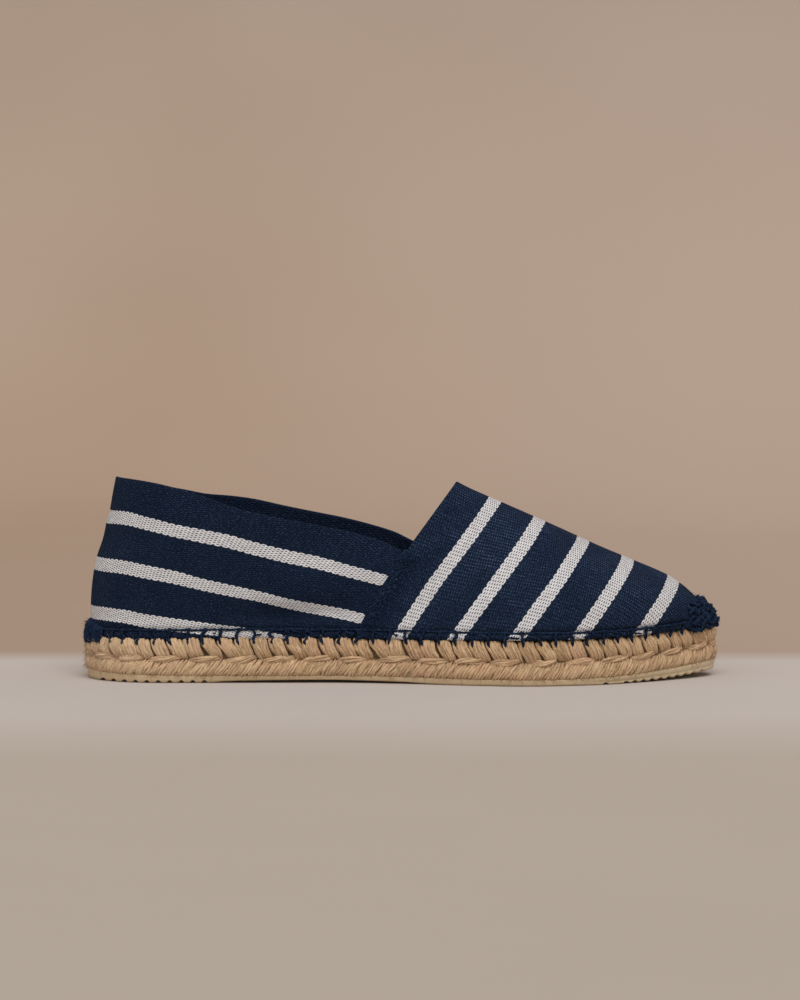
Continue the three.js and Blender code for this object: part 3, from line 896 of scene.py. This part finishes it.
# ---- side seams
def sew_sides():
    """The vamp's edge overcast to the quarter. Returns roots and directions of its tufts."""
    seams = Strands()
    roots, ways = [], []
    half = np.arange(VAMP.shape[1] // 2)
    for side, column in ((-1, half), (1, VAMP.shape[1] - 1 - half)):
        edge_line, normals = VAMP[0, column], VAMP_N[0, column]
        ahead = unit(VAMP[8, column] - VAMP[0, column])
        run = run_of(edge_line)
        corner = np.interp(52.5 if side < 0 else 53.5, edge_line[:60, 2], run[:60])
        at = lambda values, d: np.array([np.interp(d, run, values[:, k]) for k in range(3)])
        frame_at = lambda d: (at(edge_line, d), at(normals, d), at(ahead, d))
        # Stitches along the edge, each with a tuft.
        for d in np.arange(4.5, corner - 1.5, 2.4):
            d = d + normal(0, 0.7)
            start, reach = 1.5 + uniform(-0.5, 0.7), 3.8 + uniform(-0.8, 0.9)
            p0, n0, a0 = frame_at(d)
            p1, n1 = at(edge_line, d + uniform(0.6, 2.2)), at(normals, d + 1.3)
            path = [p0, p0, (p0 + p1) / 2, p1, p1] + steps(
                (a0, n0, n1), (start - 0.3, -0.6, 0), (start, 0.16, 0), ((start + reach) / 2, 0, 0.26),
                (reach, 0, 0.16), (reach + 0.4, 0, -0.7))
            yarn(seams, path, 0.27 + uniform(-0.04, 0.07), 18, tone=uniform(0.3, 1.5), up=n0, sides=8)
            for _ in range(34):
                along = a0 * (reach * uniform(0.3, 1.15))
                roots.append(p1 + along + n1 * 0.05 + (p1 - p0) * normal(0, 0.5))
                ways.append(unit(n1 * 0.5 + normal(0, 0.8, 3)))
        # Short strands between them.
        for d in np.arange(3, corner, 1.15):
            d = d + normal(0, 0.4)
            p0, n0, a0 = frame_at(d)
            far = p0 + a0 * uniform(2.2, 5.4)
            way = (at(edge_line, d + 1.5) - p0) * uniform(-0.3, 0.8) + a0 * normal(0, 0.5)
            path = far + steps((way, n0), (0, -0.35), (0, 0.18), (0.5, 0.4), (1, 0.12), (1.2, -0.3))
            yarn(seams, path, 0.25 + uniform(-0.06, 0.1), 12, tone=uniform(0.5, 1.9), up=n0, sides=7)
        # A bar of stitches where the collar meets the vamp.
        for k in range(5):
            p0 = at(edge_line, corner - 3.4 + normal(0, 0.5))
            n0, a0 = at(normals, corner - 2.6), at(ahead, corner)
            bar = at(edge_line, corner + 1.4) - p0
            off = a0 * (-0.9 + 0.62 * k + normal(0, 0.16))
            path = p0 + off + steps((bar, n0), (0, -0.6), (0, 0.42), (0.5, 0.45), (1, 0.3), (1, -0.7))
            yarn(seams, path, 0.27, 16, tone=uniform(0.6, 1.5), up=n0, sides=8)
    seams.piece("side_seam_yarn", "yarn")
    return roots, np.array(ways)


# ---- the jute braid
def braid_path(a0, ctrl, count, jitter):
    """A smooth path in the braid's own terms: along the edge, down a 15-part thickness, outward."""
    ctrl = np.array(ctrl, float) + normal(0, jitter, (len(ctrl), 3)) * [1, 0.7, 0.5]
    c = spline(ctrl, count)
    xy, n = rim(a0 + c[:, 0], c[:, 2])
    top = lobe_top(xy[:, 0])
    z = top + c[:, 1] * (top - level_of("rubber", xy[:, 0])) / 15.0
    return np.concatenate([xy, z[:, None]], 1), np.concatenate([n, np.zeros((count, 1))], 1)


def fibre_strand(kind, path, up, wide, deep, sides, grooves, depth, twist, tone):
    """A bundle of jute fibres, grooved and slightly three-sided."""
    m = len(path)
    th = np.linspace(0, math.tau, sides, endpoint=False)[None]
    run = np.linspace(0, 1, m)[:, None]
    swell = 0.07 * np.sin(3 * th + uniform(0, 6) + run * 4) * np.sin(np.pi * run)
    kind.add(path, stretched(wide, m), stretched(deep, m), up, sides=sides, grooves=grooves, depth=depth,
             twist=twist, phase=uniform(0, 6), tone=tone, swell=swell)


def braid_lobes():
    """The upper row: at each lobe a few strands that come over the edge and slant down."""
    row = Strands()
    for i in range(LOBES):
        a0 = (i + 0.5 + LEG_PHASE) * PITCH
        tone, big, lean = uniform(0.15, 0.8), uniform(0.92, 1.06), normal(0, 0.35)
        count = 4 if rng.random() < 0.75 else 5
        wide = np.array([0.64, 0.9, 1.0, 1.0, 0.95, 0.8, 0.5]) * big * (4 / count) ** 0.6
        for j in range(count):
            q = (j - (count - 1) / 2) / ((count - 1) / 2)
            w, out = 1.98 * q * big, q * q
            fall = uniform(0, 0.5)
            path, up = braid_path(a0, [
                (w * 1.0 - 1.9, -0.4 - 0.7 * out, -4.0),
                (w * 1.12 - 1.8, 0.2 - 0.55 * out, -2.3 - 0.25 * out),
                (w * 1.14 - 1.3, -1.7 - 0.3 * out, -1.25 - 0.3 * out),
                (w * 1.14 - 0.3 + lean, -3.9, -0.95 - 0.35 * out),
                (w * 1.08 + 0.7 + lean, -5.7, -1.2 - 0.3 * out),
                (w * 1.0 + 1.5 + lean, -7.1 - fall, -2.3),
                (w * 0.9 + 2.0 + lean, -7.9 - fall, -4.2)], 13, 0.13)
            fibre_strand(row, path, up, wide, [0.6, 0.9, 1.05, 1.1, 1.0, 0.8, 0.5], 12, 4, 0.09,
                         uniform(-0.25, 0.25), np.clip(tone + normal(0, 0.22), 0, 1.15))
    row.piece("jute_upper_strands", "jute", "jute_sole")


TWISTS = int(round(GIRTH / TWIST))
SPAN = GIRTH / TWISTS


def braid_twists():
    """The middle row: twists of four strands along the edge, each tucked under the next."""
    row = Strands()
    m = 26
    fat = np.sin(np.pi * np.linspace(0.06, 0.94, m)) ** 0.6
    for i in range(TWISTS):
        a0 = i * SPAN + normal(0, 0.5)
        tone = uniform(0.78, 1.25)
        core, up = braid_path(a0, [(0.2, -9.0, -3.8), (1.7, -8.6, -2.1), (4.6, -8.1, -1.2), (8.0, -7.8, -1.0),
                                   (11.2, -7.7, -1.25), (13.4, -7.6, -2.3), (14.6, -7.7, -4.1)], m, 0.3)
        across = np.cross(up, unit(np.gradient(core, axis=0)))
        turn = np.linspace(0, 1, m) * SPAN / 34 * math.tau + uniform(0, 6)
        for j in range(4):
            q = turn + j * math.tau / 4 + uniform(-0.4, 0.4)
            wander = 1 + 0.35 * np.sin(np.linspace(0, 5, m) + uniform(0, 6))
            off = (up * (0.50 * fat * np.cos(q) * wander)[:, None]
                   + across * (0.80 * fat * np.sin(q) * wander)[:, None])
            fibre_strand(row, core + off, up, 0.64 * np.array([0.35, 0.85, 1.05, 1.0, 0.8, 0.35]),
                         0.64 * np.array([0.5, 0.85, 1.0, 1.0, 0.85, 0.5]), 9, 3, 0.1, 0.3,
                         np.clip(tone + normal(0, 0.25), 0, 1.3))
    row.piece("jute_middle_strands", "jute", "jute_sole")


def braid_rows():
    """The lower row: fine strands that slant back down to the rubber."""
    row = Strands()
    fine = 11
    for i in range(TWISTS):
        for k in range(fine):
            q = (k + 0.5) / fine
            a0 = i * SPAN + q * SPAN + 2.2
            x = float(rim(np.array([a0]))[0][0, 0]) / LENGTH
            lean = 1.0 - 0.55 * ease(x, 0.86, 0.95)
            rise = 0.45 * math.sin(math.pi * q) ** 0.7 - 0.25
            first = 0.5 if k == 0 else 0.0
            path, up = braid_path(a0, [
                (2.3 * lean, -8.3 + first, -3.0), (1.6 * lean, -9.4, -1.75 + rise),
                (0.4 * lean, -11.1, -1.15 + rise), (-0.9 * lean, -12.9, -1.0 + rise * 0.7),
                (-2.0 * lean, -14.4, -1.35), (-2.7 * lean, -15.4, -2.8)], 10, 0.2)
            wide = np.array([0.55, 0.82, 0.9, 0.9, 0.84, 0.55]) * uniform(0.72, 1.12)
            fibre_strand(row, path, up, wide, [0.6, 0.9, 1.0, 1.0, 0.9, 0.6], 10, 3, 0.1, 0.35,
                         np.clip(uniform(0.35, 1.1) - 0.3 * (k == 0), 0, 1.2))
    row.piece("jute_lower_strands", "jute", "jute_sole")


# ---- loose fibres
def thickness(b):
    """A fifteenth of the jute's thickness below each point of its edge."""
    return (b[:, 2] - level_of("rubber", b[:, 0])) / 15


def fray_jute():
    """Jute fibres all round, more at the heel, and a fringe over the top of the rubber."""
    fuzz = Strands()
    count = 1500
    b, n, t = beside(uniform(0, GIRTH, count))
    depth = uniform(-14.5, 0.2, count)
    uniform(size=count)  # drawn and left, so that what follows keeps its places
    roots = b - n * 0.35 + Z * (depth * thickness(b))[:, None]
    ways = unit(n * uniform(0.05, 0.6, (count, 1)) + t * normal(0, 0.9, (count, 1))
                + Z * normal(-0.1, 0.75, (count, 1)))
    hairs(fuzz, roots, ways, (0.9, 3.8), (0.035, 0.08), 0.15, 0.25, (0.5, 1.2))
    for count, reach, low, high, fall in ((900, 34.0, -14.5, 0.3, 0.1), (1100, GIRTH / 2, -15.6, -13.4, 0.9)):
        b, n, t = beside(uniform(-reach, reach, count))
        roots = b - n * 0.8 + Z * (uniform(low, high, count) * thickness(b))[:, None]
        ways = unit(n * uniform(0.15, 0.9, (count, 1)) + t * normal(0, 0.8, (count, 1))
                    + Z * (normal(0, 0.7, (count, 1)) - fall))
        hairs(fuzz, roots, ways, (0.9, 2.9), (0.035, 0.085), 0.15, 0.3, (0.4, 1.3))
    fuzz.piece("jute_loose_fibres", "jute")


def fray_yarn(knots, tuft_roots, tuft_ways):
    """Lint on the sewing yarn, the overcast heel, the side seams, the toe and the canvas."""
    lint = Strands()
    i = rng.integers(0, LOBES, 1300)
    i = i[~AT_HEEL[i]]
    along, after = uniform(0, 1, (len(i), 1)), (i + 1) % LOBES
    roots = np.where(rng.random((len(i), 1)) < 0.6, LINE[i] * (1 - along) + LINE[after] * along,
                     LINE[i] * (1 - along) + B[i] * along) + N3[i] * 0.55
    ways = unit(N3[i] * uniform(0.1, 0.9, (len(i), 1)) + normal(0, 0.7, (len(i), 3)))
    hairs(lint, roots, ways, (0.5, 1.9), (0.03, 0.06), 0.1, 0.35, (0.4, 1.3))

    count = 700
    a = uniform(-HEEL_WRAP, HEEL_WRAP, count)
    b, n, t = beside(a)
    far = np.abs(a[:, None])
    roots = (b + n * uniform(-0.9, 0.3, (count, 1)) * (1 - far / 40)
             + Z * uniform(-2.8, 6.6, (count, 1)) * (1 - 0.4 * (far > 13)))
    ways = unit(n * uniform(0.1, 1.0, (count, 1)) + normal(0, 0.6, (count, 3)))
    hairs(lint, roots - n * 0.3, ways, (0.7, 1.9), (0.035, 0.07), 0.2, 0.35, (0.3, 1.2))
    hairs(lint, tuft_roots, tuft_ways, (0.9, 2.7), (0.045, 0.1), 0.0, 0.7, (0.8, 2.8))

    count = 620
    on = knots[rng.integers(0, len(knots), count)]
    out = unit(on - np.array([*TOE, 18]))
    hairs(lint, on + out * 0.5, unit(out * 0.7 + normal(0, 0.6, (count, 3))), (0.6, 1.7), (0.045, 0.09),
          0.1, 0.5, (0.7, 2.2))
    # A few pale ends that stick out of the hem, most of them near the side seam.
    for x in (126.5, 128, 129.4, 131, 134, 84, 63, 104, 151, 188, 205):
        near = LINE[np.argmin(np.abs(LINE[:, 0] - x) + 99 * (LINE[:, 1] > 0))]
        p = near + normal(0, 0.7, 3) * [1, 0, 0.6] - Z * 0.8
        way = unit(np.array([normal(0, 0.8), -0.5, uniform(-0.2, 1.0)]))
        hairs(lint, [p], [way], (2.2, 4.6), (0.06, 0.085), 0.1, 0.35, (1.8, 2.2))

    count = 130
    for grid, normals, first, last in ((VAMP, VAMP_N, 4, 150), (QUARTER, QUARTER_N, 0, 319)):
        r, c = rng.integers(first, last, count), rng.integers(6, grid.shape[1] - 3, count)
        n = normals[r, c]
        ways = unit(unit(np.cross(n, normal(0, 1, (count, 3)))) + n * 0.25)
        hairs(lint, grid[r, c] - n * 0.05, ways, (0.5, 1.5), (0.025, 0.05), 0.0, 0.2, (0.8, 2.2))
    lint.piece("yarn_loose_fibres", "yarn")


sew_hem()
wind_heel()
knot_points = knot_toe()
tufts = sew_sides()
braid_lobes()
braid_twists()
braid_rows()
fray_jute()
fray_yarn(knot_points, *tufts)


# ---- the layers under the strands, and the rubber
def stacked(rings):
    """A closed solid through rings of equal length, capped by strips across the shoe."""
    n = len(rings[0])
    quads = [grid_faces(len(rings), n, True)]
    i = np.arange(0, n // 2)
    for level, flip in ((0, True), (len(rings) - 1, False)):
        q = np.stack([i, i + 1, (n - i - 1) % n, (n - i) % n], 1) + level * n
        quads.append(q[:, ::-1] if flip else q)
    return np.concatenate(rings), quads


def ring_of(inset, height, stations):
    """The outline moved in by inset, at a height that depends on x, as inset too may do."""
    x0 = 1.0 if callable(inset) else inset
    x = x0 + (LENGTH - 2 * x0) * stations
    more = inset(x) - x0 if callable(inset) else 0
    return ring_at(x, edge(-1, x, x0) + more, edge(1, x, x0) - more, height(x))


def over(column, lift=0.0):
    return lambda x: level_of(column, x) + lift


coarse = spread(121)
v, f = stacked([ring_of(inset, over(column, lift), coarse) for inset, column, lift in (
    (3.2, "rubber", 0.2), (2.5, "rubber", 5.0), (2.5, "rubber", 9.0),
    (2.6, "jute", -3.0), (3.2, "jute", -1.2), (4.6, "jute", -0.2))])
uv = np.stack([v[:, 0] + v[:, 2], v[:, 1] + v[:, 2] * 0.4], 1)
# Its tone of -0.9 makes it near black where it shows between the strands: painted shade.
make("jute_core", "jute", v, f, uv, np.full(len(v), -0.9), "jute_sole")
v, f = stacked([ring_of(inset, over("jute", lift), coarse) for inset, lift in (
    (4.7, 0.2), (4.5, 1.6), (4.8, 2.3), (5.8, 2.35), (7.4, 2.1), (10, 2.0))])
make("insole_sock", "insole_cloth", v, f, replaces="insole")

# The rubber: grooves across the heel and the toe, and a waist raised clear of the floor.
GROOVES = table(first=[9.6, 215.3, 224], pitch=[4.7, 3.9, 3.72], number=[10, 1, 10], deep=[.95, .75, .75])


def tread(x):
    cut = np.zeros_like(x)
    for first, pitch, number, deep in zip(*GROOVES.values()):
        for k in range(int(number)):
            cut = np.maximum(cut, deep * np.maximum(1 - ((x - first - k * pitch) / 1.12) ** 2, 0) ** 0.8)
    return cut + 0.2 * ease(x, 55, 59) * (1 - ease(x, 132, 142))


def foot(lift):
    return lambda x: level_of("foot", x) + tread(x) + lift


def between(part):
    """A share of the way up the rubber, and always clear of the tread."""
    share = lambda x: level_of("foot", x) * (1 - part) + level_of("rubber", x) * part
    return lambda x: np.maximum(foot(0.0)(x) + 0.35, share(x))


fine = np.unique(np.concatenate([spread(161), np.linspace(0, 1, 721)]))
v, f = stacked([ring_of(inset, height, fine) for inset, height in (
    (30, foot(0.0)), (3.0, foot(0.0)), (2.0, foot(0.08)), (1.35, foot(0.3)), (1.05, between(0.3)),
    (lambda x: 1.0 + 0.55 * ease(x, 205, 222), between(0.42)), (1.0, between(0.52)),
    (0.85, over("rubber", -0.7)), (1.0, over("rubber", -0.15)), (1.5, over("rubber", 0.05)),
    (2.6, over("rubber", 0.1)))])
make("rubber_sole", "rubber", v, f, replaces="outsole")


# ---- floor, light and camera
def floor_material():
    m = Material("pale_floor")
    x, y, z = m.parts(m.place())
    cloud = m.noise(m.place(), 1.7, detail=2.0)
    grain = m.noise(m.place(), 9.0)
    near = m.mix(grain, (0.525, 0.47, 0.43), (0.555, 0.5, 0.46))
    front = m.mix(grain, (0.455, 0.395, 0.335), (0.475, 0.415, 0.355))
    stone = m.mix(y.ramp(-0.27, -0.15), front, near)
    # The far floor and the foot of the wall lighten towards the right: painted light.
    low = m.tint((0.378, 0.275, 0.2), (cloud.ramp(0.35, 0.65), (0.405, 0.3, 0.223)),
                 (x.ramp(-0.25, 0.3), (0.432, 0.33, 0.262)))
    high = m.mix(cloud.ramp(0.35, 0.65), (0.412, 0.326, 0.265), (0.455, 0.368, 0.305))
    return m.finish(m.mix(y.ramp(0.066, 0.115), stone, m.mix(z.ramp(0.12, 0.95), low, high)), 0.9)


def build_floor(reach=9.0, back=2.1, radius=0.9, height=6.0):
    """A floor, in metres, that turns up into a wall behind the shoe."""
    turn = back - radius
    profile = [(-reach, 0.0), (-0.6, 0.0), (0.0, 0.0), (turn, 0.0)]
    profile += [(turn + radius * math.sin(q), radius - radius * math.cos(q))
                for q in np.linspace(0, math.pi / 2, 13)[1:]]
    profile += [(back, height)]
    me = bpy.data.meshes.new("floor")
    verts = [(x, y, z) for y, z in profile for x in (-reach, reach)]
    me.from_pydata(verts, [], [(2 * i, 2 * i + 1, 2 * i + 3, 2 * i + 2) for i in range(len(profile) - 1)])
    me.polygons.foreach_set("use_smooth", [True] * len(me.polygons))
    me.update()
    me.materials.append(floor_material())
    add("floor", me)


def sun(name, direction, strength, angle, color):
    data = bpy.data.lights.new(name, "SUN")
    data.energy, data.angle, data.color = strength, math.radians(angle), color
    add(name, data).rotation_euler = Vector(direction).to_track_quat("-Z", "Y").to_euler()


build_floor()
world = bpy.data.worlds.new("studio")
world.use_nodes = True
sky = world.node_tree.nodes["Background"].inputs
sky["Color"].default_value = (0.5, 0.5, 0.51, 1)
sky["Strength"].default_value = 1.0
scene = bpy.context.scene
scene.world = world
sun("key", (-0.12, 0.55, -1.0), 1.55, 40, (1.0, 0.985, 0.97))
sun("fill", (0.35, 0.9, -0.3), 0.4, 70, (1.0, 0.99, 0.98))

cam_data = bpy.data.cameras.new("camera")
cam_data.lens, cam_data.sensor_width = 99.9, 36
cam_data.clip_start, cam_data.clip_end = 0.05, 50
cam = add("camera", cam_data)
cam.location = (-0.0009, -1.16, 0.115)
cam.rotation_euler = (math.radians(90 - 2.04), 0, 0)
scene.camera = cam
scene.view_settings.view_transform = "Standard"
